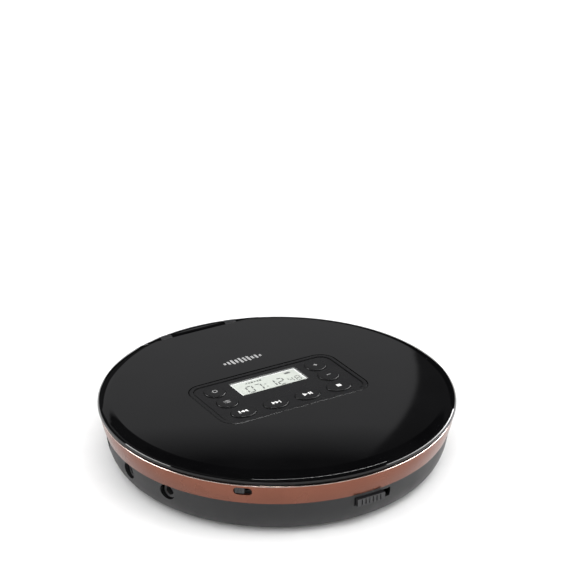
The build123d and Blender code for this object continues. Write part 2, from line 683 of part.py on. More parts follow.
cell_spring = coil(3.2, 0.35, 1.7, 2.5)
with BuildPart() as battery_springs:
    for y, way in zip(CELL_Y, (-1, 1)):
        add(Pos(way * 26.7, y, CELL_Z) * Rot(0, -90 * way, 0) * cell_spring)
save(battery_springs.part, "battery_springs")

with BuildPart() as rubber_feet:
    with BuildSketch(Plane.XY):
        with Locations(*FOOT_PLACES):
            Circle(4.5)
    extrude(amount=CASE_BOTTOM + 0.4)
    chamfer(rubber_feet.faces().sort_by(Axis.Z)[:4].edges(), 0.25)
save(rubber_feet.part, "rubber_feet")

CASE_SCREW_PLACES = [(sx * SCREW_XY, sy * SCREW_XY) for sx in (-1, 1) for sy in (-1, 1)]
save(screws(CASE_SCREW_PLACES, (2.4, 1.8), 1.1, 4.0, 14.0), "case_screws")

# ------------------------------------------------------------------ main board and sockets

with BuildPart() as main_board:
    with BuildSketch(Plane.XY.offset(BOARD_LOW)):
        Circle(BOARD_RADIUS)
        with Locations((20.5, 0)):
            Rectangle(100, 200, mode=Mode.SUBTRACT)
        with Locations((-16, 61)):
            Rectangle(48, 20)
    extrude(amount=BOARD_TOP - BOARD_LOW)
    add(rod(0, 0, (0, 40), 90) - rod(0, 0, (0, 40), BOARD_RADIUS), mode=Mode.SUBTRACT)
    with BuildSketch(Plane.XY.offset(BOARD_LOW)):
        with Locations(*CASE_SCREW_PLACES):
            Circle(3.4)
        with Locations(*BOARD_SCREW_PLACES):
            Circle(0.9)
    extrude(amount=2, mode=Mode.SUBTRACT)
    # connector for the display ribbon
    add(block((-6, 6), (62.1, 63.3), (BOARD_TOP, 18.4)))
save(main_board.part, "main_board")

CHIPS = ((-38.0, -4.0, 12.0, 12.0, 1.4), (-36.0, 21.0, 9.0, 15.0, 1.2), (-33.5, -30.0, 6.0, 6.0, 1.0))
with BuildPart() as board_chips:
    for x, y, wide, deep, high in CHIPS:
        add(block((x - wide / 2, x + wide / 2), (y - deep / 2, y + deep / 2), (BOARD_LOW - high, BOARD_LOW)))
        for step in range(-4, 5):
            along = step * deep / 10
            add(block((x - wide / 2 - 0.8, x + wide / 2 + 0.8), (y + along - 0.15, y + along + 0.15),
                      (BOARD_LOW - 0.3, BOARD_LOW)))
save(board_chips.part, "board_chips")

with BuildPart() as board_capacitors:
    for x, y, radius in ((-34.0, 9.5, 2.0), (-50.0, 31.0, 2.6), (-44.0, -12.5, 2.0), (-50.0, -33.0, 2.6)):
        can = rod(x, y, (BOARD_LOW - 5.4, BOARD_LOW - 0.6), radius)
        base = block((x - radius, x + radius), (y - radius, y + radius), (BOARD_LOW - 0.6, BOARD_LOW))
        add(can)
        add(base)
save(board_capacitors.part, "board_capacitors")

for name, angle in (("headphone_jack", PHONES_ANGLE), ("line_out_jack", LINE_ANGLE)):
    with BuildPart() as jack:
        with BuildSketch(side_plane(angle, 51.5, 0)):
            with Locations((0, (9.5 + BOARD_LOW) / 2)):
                Rectangle(6.8, BOARD_LOW - 9.5)
        extrude(amount=12)
        with BuildSketch(side_plane(angle, 60, JACK_Z)):
            Circle(2.9)
        extrude(amount=JACK_MOUTH - 60)
        with BuildSketch(side_plane(angle, JACK_MOUTH - JACK_DEPTH, JACK_Z)):
            Circle(JACK_BORE)
        extrude(amount=JACK_DEPTH + 1, mode=Mode.SUBTRACT)
    save(jack.part, name)

with BuildPart() as power_socket:
    with BuildSketch(side_plane(POWER_ANGLE, 57.5, 0)):
        with Locations((0, (10.6 + BOARD_LOW) / 2)):
            Rectangle(8.8, BOARD_LOW - 10.6)
    extrude(amount=5.5)
    with BuildSketch(side_plane(POWER_ANGLE, 57.5, JACK_Z)):
        RectangleRounded(8.2, 3.4, 0.8)
    extrude(amount=JACK_MOUTH - 57.5)
    with BuildSketch(side_plane(POWER_ANGLE, 59.0, JACK_Z)):
        RectangleRounded(7.4, 2.6, 0.5)
    extrude(amount=9, mode=Mode.SUBTRACT)
    with BuildSketch(side_plane(POWER_ANGLE, 58.5, JACK_Z)):
        Rectangle(4.6, 0.6)
    extrude(amount=5)
save(power_socket.part, "power_socket")

with BuildPart() as hold_switch:
    with BuildSketch(side_plane(HOLD_ANGLE, 62.35, 0)):
        with Locations((0, (BOARD_TOP + 16.9) / 2)):
            Rectangle(6, 16.9 - BOARD_TOP)
    extrude(amount=1.2)
    with BuildSketch(side_plane(HOLD_ANGLE, 62.35, 0)):
        with Locations((0, 19.7)):
            Rectangle(8.6, 5.8)
    extrude(amount=4.0)
    with BuildSketch(side_plane(HOLD_ANGLE, 65.2, HOLD_Z)):
        Rectangle(4.6, 1.6)
    extrude(amount=3, mode=Mode.SUBTRACT)
save(hold_switch.part, "hold_switch")

with BuildPart() as hold_knob:
    with BuildSketch(side_plane(HOLD_ANGLE, 65.4, HOLD_Z)):
        with Locations((HOLD_REST, 0)):
            Rectangle(1.6, 1.3)
    extrude(amount=1.4)
    with BuildSketch(side_plane(HOLD_ANGLE, 66.55, HOLD_Z)):
        with Locations((HOLD_REST, 0)):
            RectangleRounded(3.6, 2.5, 0.4)
    extrude(amount=1.75)
    with BuildSketch(side_plane(HOLD_ANGLE, 68.0, HOLD_Z)):
        with Locations((HOLD_REST - 0.7, 0), (HOLD_REST, 0), (HOLD_REST + 0.7, 0)):
            Rectangle(0.3, 3)
    extrude(amount=1, mode=Mode.SUBTRACT)
save(hold_knob.part, "hold_knob")

with BuildPart() as lid_switch:
    with BuildSketch(side_plane(SWITCH_ANGLE, SWITCH_RADIUS - 1.8, 0)):
        with Locations((0, (19.6 + DECK_TOP - 1) / 2)):
            Rectangle(6.4, DECK_TOP - 1 - 19.6)
    extrude(amount=3.6)
    add(rod(*SWITCH_XY, (20.4, 30), 0.95), mode=Mode.SUBTRACT)
save(lid_switch.part, "lid_switch")

with BuildPart() as lid_switch_plunger:
    add(rod(*SWITCH_XY, (21.5, LID_LOW - 0.1), 0.9))
save(lid_switch_plunger.part, "lid_switch_plunger")

with BuildPart() as open_slider:
    add(block((-6.85, SLIDER_END_X), (-65.2, -63.8), (20.3, 22.4)))
    add(block((-4, 4), (-64.9, -63.5), (10.6, 20.4)))
    add(block((-6, 6), (-68.2, -63.5), (10.6, 13.6)))
    with BuildSketch(Plane.XZ.offset(68.2)):
        with GridLocations(1.6, 1, 6, 1):
            with Locations((0, 12.1)):
                Rectangle(0.5, 2.2)
    extrude(amount=-0.35, mode=Mode.SUBTRACT)
save(open_slider.part, "open_slider")

slide_spring = coil(0.75, 0.18, SPRING_STOP_X[0] - SLIDER_END_X - 0.44, 6)
with BuildPart() as latch_spring:
    add(Pos(SLIDER_END_X + 0.22, -64.5, 21.35) * Rot(0, 90, 0) * slide_spring)
save(latch_spring.part, "latch_spring")

# ------------------------------------------------------------------ disc drive

with BuildPart() as drive_chassis:
    add(block((-24, 34.8), (-62.4, 13), (CHASSIS_LOW, CHASSIS_TOP)) & rod(0, 0, (0, 40), 62.4))
    with BuildSketch(Plane.XY.offset(CHASSIS_LOW - 1)):
        with Locations((0, -38.45)):
            Rectangle(18, 44.9)
        Circle(3.8)
        with Locations(*DAMPER_PLACES):
            Circle(2.45)
        with Locations((-17, -3), (17.5, 4)):
            SlotOverall(9, 5, rotation=90)
    extrude(amount=5, mode=Mode.SUBTRACT)
    # ears that hold the ends of the rails
    for side in (-1, 1):
        for y in ((RAIL_Y[0], RAIL_Y[0] + 1.8), (RAIL_Y[1] - 1.5, RAIL_Y[1])):
            add(block(sorted((side * 11.4, side * 14.2)), y, (RAIL_Z - 1.8, CHASSIS_LOW + 0.2)))
    for side in (-1, 1):
        with Locations((side * RAIL_X, 0, RAIL_Z)):
            Cylinder(RAIL_RADIUS, 200, rotation=(90, 0, 0), mode=Mode.SUBTRACT)
    # post for the reduction gear
    add(rod(*IDLER_XY, (12.4, CHASSIS_LOW + 0.2), 1.6))
    add(rod(*IDLER_XY, (6.0, CHASSIS_LOW + 0.2), 0.9))
save(drive_chassis.part, "drive_chassis")

with BuildPart() as gear_clip:
    with BuildSketch(Plane.XY.offset(6.2)):
        with Locations(IDLER_XY):
            Circle(1.8)
            Circle(0.9, mode=Mode.SUBTRACT)
    extrude(amount=0.4)
save(gear_clip.part, "gear_clip")

with BuildPart() as sled_rails:
    for side in (-1, 1):
        middle = (RAIL_Y[0] + RAIL_Y[1]) / 2
        with Locations((side * RAIL_X, middle, RAIL_Z)):
            Cylinder(RAIL_RADIUS, RAIL_Y[1] - RAIL_Y[0], rotation=(90, 0, 0))
save(sled_rails.part, "sled_rails")

with BuildPart() as drive_dampers:
    with BuildSketch(Plane.XY.offset(DAMPER_LOW)):
        with Locations(*DAMPER_PLACES):
            Circle(3.8)
    extrude(amount=CHASSIS_LOW - DAMPER_LOW)
    with BuildSketch(Plane.XY.offset(DAMPER_LOW)):
        with Locations(*DAMPER_PLACES):
            Circle(2.4)
    extrude(amount=15.9 - DAMPER_LOW)
    with BuildSketch(Plane.XY.offset(CHASSIS_TOP)):
        with Locations(*DAMPER_PLACES):
            Circle(3.8)
    extrude(amount=15.9 - CHASSIS_TOP)
    with BuildSketch(Plane.XY):
        with Locations(*DAMPER_PLACES):
            Circle(1.55)
    extrude(amount=30, mode=Mode.SUBTRACT)
save(drive_dampers.part, "drive_dampers")

# one size of small screw holds both the drive's rubber mounts and the main board
with BuildPart() as small_screws:
    add(screws(DAMPER_PLACES, SMALL_HEAD, 0.8, POST_TOP, POST_TOP - SMALL_SHANK, upward=False))
    add(screws(BOARD_SCREW_PLACES, SMALL_HEAD, 0.8, BOARD_LOW, BOARD_LOW + SMALL_SHANK))
save(small_screws.part, "small_screws")

with BuildPart() as spindle_motor:
    add(rod(0, 0, (4.6, CHASSIS_LOW), 11.0))
    fillet(spindle_motor.faces().sort_by(Axis.Z)[0].edges(), 0.8)
    add(rod(0, 0, (CHASSIS_LOW, 15.6), 3.5))
    add(rod(0, 0, (10.8, 20), 0.81), mode=Mode.SUBTRACT)
save(spindle_motor.part, "spindle_motor")

with BuildPart() as turntable:
    add(rod(0, 0, (18.9, DISC_SEAT), 15.0))
    add(rod(0, 0, (16.2, 18.9), 5.0))
    with BuildSketch(Plane.XY.offset(DISC_SEAT)):
        Circle(DISC_HOLE_PIN)
    extrude(amount=2.3)
    chamfer(turntable.faces().sort_by(Axis.Z)[-1].edges(), 0.5)
    for angle in (0, 120, 240):
        pocket = Rot(0, 90, 0) * Cylinder(0.8, 5.0, mode=Mode.PRIVATE)
        add(Rot(0, 0, angle) * Pos(7.0, 0, BALL_Z) * pocket, mode=Mode.SUBTRACT)
    # shaft that runs in the motor
    add(rod(0, 0, (11.0, 17), 0.75))
    # groove for the friction ring
    with BuildSketch(Plane.XY.offset(DISC_SEAT - 0.4)):
        Circle(14.0)
        Circle(12.4, mode=Mode.SUBTRACT)
    extrude(amount=0.5, mode=Mode.SUBTRACT)
save(turntable.part, "turntable")

with BuildPart() as friction_ring:
    with BuildSketch(Plane.XY.offset(DISC_SEAT - 0.4)):
        Circle(13.9)
        Circle(12.5, mode=Mode.SUBTRACT)
    extrude(amount=0.4)
save(friction_ring.part, "friction_ring")

for number, angle in enumerate((0, 120, 240), 1):
    with BuildPart() as ball:
        with Locations(Rot(0, 0, angle) * Pos(6.85, 0, BALL_Z)):
            Sphere(0.75)
    save(ball.part, f"clamp_ball_{number}")

with BuildPart() as pickup_sled:
    add(block((-14.5, 14.5), (LENS_Y - 1, LENS_Y + 12), (SLED_LOW, SLED_TOP)))
    add(block((-7.5, 7.5), (LENS_Y - 4, LENS_Y), (SLED_LOW, SLED_TOP)))
    add(block((-7.5, 7.5), (LENS_Y - 4, LENS_Y + 5), (SLED_TOP - 0.1, 15.6)))
    for side in (-1, 1):
        with Locations((side * RAIL_X, LENS_Y, RAIL_Z)):
            Cylinder(RAIL_RADIUS + 0.05, 60, rotation=(90, 0, 0), mode=Mode.SUBTRACT)
    # light path to the lens and hollows that lighten the casting
    add(rod(0, LENS_Y, (12, 20), 2.3), mode=Mode.SUBTRACT)
    for x in ((-10.6, -4.5), (4.5, 10.6)):
        add(block(x, (LENS_Y + 6, LENS_Y + 11), (10.2, 20)), mode=Mode.SUBTRACT)
save(pickup_sled.part, "pickup_sled")

with BuildPart() as pickup_board:
    add(block((-12, 9), (LENS_Y - 3, LENS_Y + 11), (SLED_LOW - 0.5, SLED_LOW)))
    add(block((-8, -2), (LENS_Y + 1, LENS_Y + 7), (SLED_LOW - 1.5, SLED_LOW - 0.5)))
save(pickup_board.part, "pickup_board")

with BuildPart() as focus_magnets:
    for x in ((-7.2, -5.4), (5.4, 7.2)):
        add(block(x, (LENS_Y - 3, LENS_Y + 3), (15.6, 17.6)))
save(focus_magnets.part, "focus_magnets")

with BuildPart() as lens_holder:
    with BuildSketch(Plane.XY.offset(16.3)):
        with Locations((0, LENS_Y)):
            RectangleRounded(8.6, 6.8, 1.2)
    extrude(amount=1.5)
    add(rod(0, LENS_Y, (16.0, 20), 1.7), mode=Mode.SUBTRACT)
    add(rod(0, LENS_Y, (17.0, 20), 2.3), mode=Mode.SUBTRACT)
save(lens_holder.part, "lens_holder")

with BuildPart() as objective_lens:
    with BuildSketch(Plane.XZ):
        with BuildLine():
            ThreePointArc((0, 18.3), (1.25, 17.98), (2.1, 17.3))
            Polyline((2.1, 17.3), (2.28, 17.3), (2.28, 17.0), (0, 17.0), (0, 18.3))
        make_face()
    revolve(axis=Axis.Z)
save(Pos(0, LENS_Y, 0) * objective_lens.part, "objective_lens")

RACK_PITCH = math.pi * RACK_MODULE
RACK_FRONT, RACK_BACK = LENS_Y - 4.0, LENS_Y + 33.0


def rack_outline():
    """Points round the rack; one tooth is centred level with the gear's axis plus half a pitch."""
    root, tip = RACK_PITCH_X - 1.2 * RACK_MODULE, RACK_PITCH_X + 0.9 * RACK_MODULE
    half = 0.43 * RACK_PITCH / 2
    lean = math.tan(math.radians(20))
    centre = IDLER_XY[1] + RACK_PITCH / 2
    first = math.ceil((RACK_FRONT + 0.8 - centre) / RACK_PITCH)
    last = math.floor((RACK_BACK - 0.8 - centre) / RACK_PITCH)
    points = [(14.5, RACK_FRONT), (root, RACK_FRONT)]
    for tooth in range(first, last + 1):
        y = centre + tooth * RACK_PITCH
        low, high = half + 1.2 * RACK_MODULE * lean, half - 0.9 * RACK_MODULE * lean
        points += [(root, y - low), (tip, y - high), (tip, y + high), (root, y + low)]
    return points + [(root, RACK_BACK), (14.5, RACK_BACK)]


with BuildPart() as sled_rack:
    with BuildSketch(Plane.XY.offset(9.6)):
        with BuildLine():
            Polyline(*rack_outline(), close=True)
        make_face()
    extrude(amount=2.3)
save(sled_rack.part, "sled_rack")

with BuildPart() as idler_gear:
    with BuildSketch(Plane.XY.offset(6.8)):
        with BuildLine():
            Polyline(*gear_outline(TRAIN_MODULE, IDLER_LARGE_TEETH, PINION_ANGLE), close=True)
        make_face()
    extrude(amount=2.0)
    with BuildSketch(Plane.XY.offset(8.8)):
        with BuildLine():
            Polyline(*gear_outline(RACK_MODULE, IDLER_SMALL_TEETH, 180), close=True)
        make_face()
    extrude(amount=3.4)
    with BuildSketch(Plane.XY.offset(6.8)):
        with PolarLocations(6.3, 6):
            Circle(1.7)
    extrude(amount=2, mode=Mode.SUBTRACT)
    with BuildSketch(Plane.XY):
        Circle(0.97)
    extrude(amount=30, mode=Mode.SUBTRACT)
save(Pos(*IDLER_XY, 0) * idler_gear.part, "idler_gear")

with BuildPart() as motor_pinion:
    pinion_turn = PINION_ANGLE + 180 + 180 / PINION_TEETH
    with BuildSketch(Plane.XY.offset(6.8)):
        with BuildLine():
            Polyline(*gear_outline(TRAIN_MODULE, PINION_TEETH, pinion_turn), close=True)
        make_face()
    extrude(amount=2.1)
    with BuildSketch(Plane.XY.offset(6.6)):
        Circle(0.5)
    extrude(amount=3.2)
save(Pos(*PINION_XY, 0) * motor_pinion.part, "motor_pinion")

with BuildPart() as sled_motor:
    add(rod(*PINION_XY, (9.2, CHASSIS_LOW), 6.5))
    fillet(sled_motor.faces().sort_by(Axis.Z)[0].edges(), 0.5)
    add(rod(*PINION_XY, (9, 10.2), 0.56), mode=Mode.SUBTRACT)
save(sled_motor.part, "sled_motor")
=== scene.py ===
"""Looks for the portable disc player.

Materials for the CAD pieces, printed marks, display, a bent ribbon and a copy of the spring, a ring of
lighter metal as a painted highlight on the band's top edge, light and camera.
"""

import json
import math

import bmesh
import bpy
from mathutils import Matrix, Vector


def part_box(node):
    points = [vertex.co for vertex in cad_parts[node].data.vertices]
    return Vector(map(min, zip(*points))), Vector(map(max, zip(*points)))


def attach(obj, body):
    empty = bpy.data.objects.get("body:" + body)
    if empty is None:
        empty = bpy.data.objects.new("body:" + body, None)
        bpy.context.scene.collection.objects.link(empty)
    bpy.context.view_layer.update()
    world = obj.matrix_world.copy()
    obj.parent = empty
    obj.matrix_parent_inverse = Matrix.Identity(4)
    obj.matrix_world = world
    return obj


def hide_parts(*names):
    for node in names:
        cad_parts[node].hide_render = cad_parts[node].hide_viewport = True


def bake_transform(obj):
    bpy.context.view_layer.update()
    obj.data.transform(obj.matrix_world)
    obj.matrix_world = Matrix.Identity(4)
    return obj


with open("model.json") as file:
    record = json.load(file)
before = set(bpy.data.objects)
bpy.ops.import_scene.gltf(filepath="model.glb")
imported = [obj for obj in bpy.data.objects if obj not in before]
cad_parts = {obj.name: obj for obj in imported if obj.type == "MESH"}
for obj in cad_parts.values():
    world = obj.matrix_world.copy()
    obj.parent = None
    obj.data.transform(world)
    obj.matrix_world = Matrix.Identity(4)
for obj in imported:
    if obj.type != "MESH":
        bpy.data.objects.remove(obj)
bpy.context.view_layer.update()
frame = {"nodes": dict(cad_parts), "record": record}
nodes = frame["nodes"]
MM = 0.001

# ------------------------------------------------------------------ places read from the frame

lid_low, lid_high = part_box("lid_shell")
lens_low, lens_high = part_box("display_lens")
module_low, module_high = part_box("display_module")
RIM_Z = lid_low.z
BODY_OF = {n: b for b, members in frame["record"]["behaviour"]["bodies"].items() for n in members}

# ------------------------------------------------------------------ materials


def new_material(name):
    """A material with its node tree, its shader and a source of coordinates."""
    made = bpy.data.materials.new(name)
    made.use_nodes = True
    tree = made.node_tree
    shader = tree.nodes["Principled BSDF"]
    place = tree.nodes.new("ShaderNodeTexCoord")
    return made, tree, shader, place


def noise(tree, place, scale, detail=3.0, stretch=(1, 1, 1)):
    """A noise texture in the frame's own coordinates; scale is in cycles per metre."""
    turn = tree.nodes.new("ShaderNodeMapping")
    turn.inputs["Scale"].default_value = stretch
    made = tree.nodes.new("ShaderNodeTexNoise")
    made.inputs["Scale"].default_value = scale
    made.inputs["Detail"].default_value = detail
    tree.links.new(place.outputs["Object"], turn.inputs["Vector"])
    tree.links.new(turn.outputs["Vector"], made.inputs["Vector"])
    return made


def spread(tree, source, low, high):
    """Maps a noise's middle range to low..high."""
    made = tree.nodes.new("ShaderNodeMapRange")
    made.inputs["From Min"].default_value = 0.3
    made.inputs["From Max"].default_value = 0.7
    made.inputs["To Min"].default_value = low
    made.inputs["To Max"].default_value = high
    tree.links.new(source.outputs["Fac"], made.inputs["Value"])
    return made


def two_colours(tree, source, dark, light):
    """Turns a noise's middle range into a blend from dark to light."""
    made = tree.nodes.new("ShaderNodeValToRGB")
    made.color_ramp.elements[0].position = 0.3
    made.color_ramp.elements[1].position = 0.7
    made.color_ramp.elements[0].color = (*dark, 1)
    made.color_ramp.elements[1].color = (*light, 1)
    tree.links.new(source.outputs["Fac"], made.inputs["Fac"])
    return made


def bump(tree, shader, source, strength, depth_mm):
    """Raises a noise from the surface, in the shader's normal only."""
    made = tree.nodes.new("ShaderNodeBump")
    made.inputs["Strength"].default_value = strength
    made.inputs["Distance"].default_value = depth_mm * MM
    tree.links.new(source.outputs["Fac"], made.inputs["Height"])
    tree.links.new(made.outputs["Normal"], shader.inputs["Normal"])


def surface(name, colour, vary=0.12, rough=(0.4, 0.5), grain_mm=0.25, depth_mm=0.01, metal=0.0,
            strength=0.4, coat=0.0, specular=0.5, stretch=(1, 1, 1), patch_mm=9.0, ior=1.5):
    """A moulded, painted or metal surface.

    Fine grain is in its relief; its colour and gloss change slowly over patches of patch_mm.
    """
    made, tree, shader, place = new_material(name)
    patches = noise(tree, place, 1000 / patch_mm, 4)
    grain = noise(tree, place, 1000 / grain_mm, 2, stretch)
    dark = [c * (1 - vary) for c in colour]
    light = [min(1, c * (1 + vary)) for c in colour]
    tree.links.new(two_colours(tree, patches, dark, light).outputs["Color"], shader.inputs["Base Color"])
    tree.links.new(spread(tree, patches, *rough).outputs["Result"], shader.inputs["Roughness"])
    if depth_mm:
        bump(tree, shader, grain, strength, depth_mm)
    shader.inputs["Metallic"].default_value = metal
    shader.inputs["Specular IOR Level"].default_value = specular
    shader.inputs["Coat Weight"].default_value = coat
    shader.inputs["Coat Roughness"].default_value = 0.05
    shader.inputs["IOR"].default_value = ior
    return made


gloss_black = surface("gloss_black", (0.0018, 0.0018, 0.002), 0.25, (0.025, 0.04), 0.8, 0.0,
                      specular=0.3, patch_mm=25)
lug_black = surface("lug_black", (0.0025, 0.0025, 0.0028), 0.25, (0.04, 0.06), 0.8, 0.0, patch_mm=20)
panel_black = surface("panel_black", (0.008, 0.008, 0.0085), 0.15, (0.24, 0.32), 0.12, 0.003)
cap_black = surface("cap_black", (0.010, 0.010, 0.0105), 0.15, (0.28, 0.38), 0.12, 0.003)
case_black = surface("case_black", (0.007, 0.007, 0.0076), 0.18, (0.42, 0.55), 0.35, 0.015, specular=0.4)
deck_black = surface("deck_black", (0.009, 0.009, 0.0098), 0.15, (0.42, 0.52), 0.3, 0.012, specular=0.3)
liner_black = surface("liner_black", (0.018, 0.018, 0.019), 0.15, (0.4, 0.5), 0.3, 0.012)
copper = surface("copper_paint", (0.18, 0.069, 0.045), 0.07, (0.22, 0.30), 0.06, 0.002, metal=0.9,
                 strength=0.3, patch_mm=14)
# painted highlight: a metal much lighter than the copper, for the ring on the band's top edge, standing in
# for the light that edge catches
painted_highlight_metal = surface("painted_highlight_rim", (0.62, 0.50, 0.45), 0.04, (0.14, 0.2), 0.06, 0.001, metal=1.0,
                     patch_mm=14)
knob_black = surface("knob_black", (0.013, 0.013, 0.014), 0.15, (0.3, 0.4), 0.15, 0.004)
rubber = surface("rubber", (0.016, 0.016, 0.016), 0.2, (0.75, 0.9), 0.4, 0.03)
part_black = surface("moulded_black", (0.02, 0.02, 0.021), 0.15, (0.45, 0.55), 0.3, 0.01)
steel = surface("plated_steel", (0.56, 0.57, 0.58), 0.08, (0.22, 0.34), 0.2, 0.002, metal=1.0)
sheet_steel = surface("zinc_sheet", (0.5, 0.51, 0.52), 0.1, (0.32, 0.45), 0.5, 0.004, metal=1.0, patch_mm=5)
bright_steel = surface("ground_steel", (0.7, 0.7, 0.71), 0.04, (0.08, 0.14), 0.1, 0.001, metal=1.0)
dark_steel = surface("black_screw", (0.06, 0.06, 0.065), 0.1, (0.3, 0.4), 0.2, 0.002, metal=1.0)
brass = surface("brass", (0.66, 0.46, 0.18), 0.06, (0.2, 0.3), 0.2, 0.001, metal=1.0)
nickel = surface("nickel", (0.66, 0.63, 0.57), 0.05, (0.18, 0.28), 0.2, 0.002, metal=1.0)
acetal = surface("white_acetal", (0.72, 0.71, 0.67), 0.05, (0.35, 0.45), 0.4, 0.004)
mask_green = surface("solder_mask", (0.008, 0.085, 0.03), 0.2, (0.22, 0.34), 0.6, 0.01, patch_mm=4)
chip_black = surface("chip_black", (0.018, 0.018, 0.02), 0.12, (0.5, 0.6), 0.15, 0.008)
amber = surface("amber_film", (0.42, 0.2, 0.035), 0.12, (0.25, 0.35), 0.8, 0.004)
ribbon_white = surface("ribbon_film", (0.62, 0.6, 0.52), 0.06, (0.35, 0.45), 0.5, 0.003)
sleeve = surface("cell_sleeve", (0.03, 0.09, 0.16), 0.1, (0.2, 0.3), 0.6, 0.002)
print_white = surface("white_print", (0.78, 0.78, 0.77), 0.04, (0.45, 0.55), 0.1, 0.003)
print_grey = surface("grey_print", (0.32, 0.32, 0.32), 0.06, (0.45, 0.55), 0.1, 0.003)
lcd_field = surface("display_field", (0.47, 0.495, 0.455), 0.03, (0.35, 0.4), 0.2, 0.001)
lcd_frame = surface("display_frame", (0.80, 0.81, 0.80), 0.02, (0.4, 0.45), 0.2, 0.001)
lcd_ink = surface("display_ink", (0.03, 0.032, 0.03), 0.1, (0.35, 0.4), 0.2, 0.001)


def clear_plastic(name, colour, alpha):
    """A thin clear sheet that lets most of what lies under it through."""
    made, tree, shader, place = new_material(name)
    patches = noise(tree, place, 60, 3)
    tree.links.new(spread(tree, patches, 0.03, 0.07).outputs["Result"], shader.inputs["Roughness"])
    shader.inputs["Base Color"].default_value = (*colour, 1)
    shader.inputs["Alpha"].default_value = alpha
    shader.inputs["IOR"].default_value = 1.49
    return made


window = clear_plastic("clear_window", (0.8, 0.82, 0.8), 0.08)
lens_blue = surface("coated_lens", (0.03, 0.06, 0.22), 0.2, (0.02, 0.05), 0.3, 0.0, coat=1.0)

looks = {
    "lid_shell": gloss_black, "hinge_lugs": lug_black, "lid_liner": liner_black,
    "control_panel": panel_black, "display_lens": window, "display_module": lcd_frame,
    "button_board": mask_green, "dome_switches": bright_steel, "lid_screws": dark_steel,
    "side_band": copper, "deck": deck_black, "bottom_case": case_black, "battery_door": case_black,
    "rubber_feet": rubber, "hinge_pins": bright_steel, "case_screws": steel, "small_screws": steel,
    "main_board": mask_green, "board_chips": chip_black, "board_capacitors": steel,
    "headphone_jack": part_black, "line_out_jack": part_black, "power_socket": nickel,
    "battery_cells": sleeve, "battery_plates": nickel, "battery_springs": nickel,
    "drive_chassis": sheet_steel, "drive_dampers": rubber, "spindle_motor": steel,
    "sled_motor": steel, "sled_rails": bright_steel, "gear_clip": dark_steel,
    "turntable": part_black, "friction_ring": rubber, "clamp_ball_1": bright_steel,
    "clamp_ball_2": bright_steel, "clamp_ball_3": bright_steel, "pickup_sled": part_black,
    "pickup_board": amber, "focus_magnets": steel, "sled_rack": acetal, "lens_holder": part_black,
    "objective_lens": lens_blue, "idler_gear": acetal, "motor_pinion": brass,
    "hold_switch": part_black, "hold_knob": knob_black, "lid_switch": part_black,
    "lid_switch_plunger": acetal, "open_slider": knob_black, "latch_spring": steel,
}
for name, node in nodes.items():
    chosen = looks.get(name, cap_black if name.startswith("button_") else ribbon_white)
    node.data.materials.clear()
    node.data.materials.append(chosen)

# ------------------------------------------------------------------ flat printed shapes


def link(name, mesh, look):
    """Puts a mesh into the scene as an object with one material."""
    made = bpy.data.objects.new(name, mesh)
    bpy.context.scene.collection.objects.link(made)
    made.data.materials.append(look)
    return made


def link_bmesh(name, bm, look):
    """The same for a mesh that is still being edited, which it frees."""
    mesh = bpy.data.meshes.new(name)
    bm.to_mesh(mesh)
    bm.free()
    return link(name, mesh, look)


def printed(name, outlines, z, look, body, thick=0.03, shape=None):
    """Thin raised print on a body, from closed outlines in millimetres.

    It stands at height z in metres, or at shape(x, y) where a function is given.
    """
    bm = bmesh.new()
    for outline in outlines:
        bm.faces.new([bm.verts.new((x * MM, y * MM, shape(x, y) if shape else z)) for x, y in outline])
    bm.normal_update()
    for face in bm.faces:
        if face.normal.z < 0:
            face.normal_flip()
    raised = bmesh.ops.extrude_face_region(bm, geom=bm.faces[:])
    tops = [g for g in raised["geom"] if isinstance(g, bmesh.types.BMVert)]
    bmesh.ops.translate(bm, verts=tops, vec=(0, 0, thick * MM))
    bmesh.ops.recalc_face_normals(bm, faces=bm.faces[:])
    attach(link_bmesh(name, bm, look), body)


def rectangle(x, y, wide, high):
    left, right, low, high = x - wide / 2, x + wide / 2, y - high / 2, y + high / 2
    return [(left, low), (right, low), (right, high), (left, high)]


def triangle(x, y, wide, high):
    """A triangle that points towards +X, or towards -X where wide is negative."""
    return [(x - wide / 2, y - high / 2), (x + wide / 2, y), (x - wide / 2, y + high / 2)]


def arc_band(x, y, radius, width, start, end, steps=14):
    """A bent strip round x, y from one angle to another, in degrees."""
    outer, inner = [], []
    for step in range(steps + 1):
        a = math.radians(start + (end - start) * step / steps)
        outer.append((x + (radius + width / 2) * math.cos(a), y + (radius + width / 2) * math.sin(a)))
        inner.append((x + (radius - width / 2) * math.cos(a), y + (radius - width / 2) * math.sin(a)))
    return outer + inner[::-1]


def middle(node):
    """X and Y of a node's middle in millimetres, and its top in metres."""
    low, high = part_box(node)
    return (low.x + high.x) / 2 / MM, (low.y + high.y) / 2 / MM, high.z


# ------------------------------------------------------------------ marks on the buttons

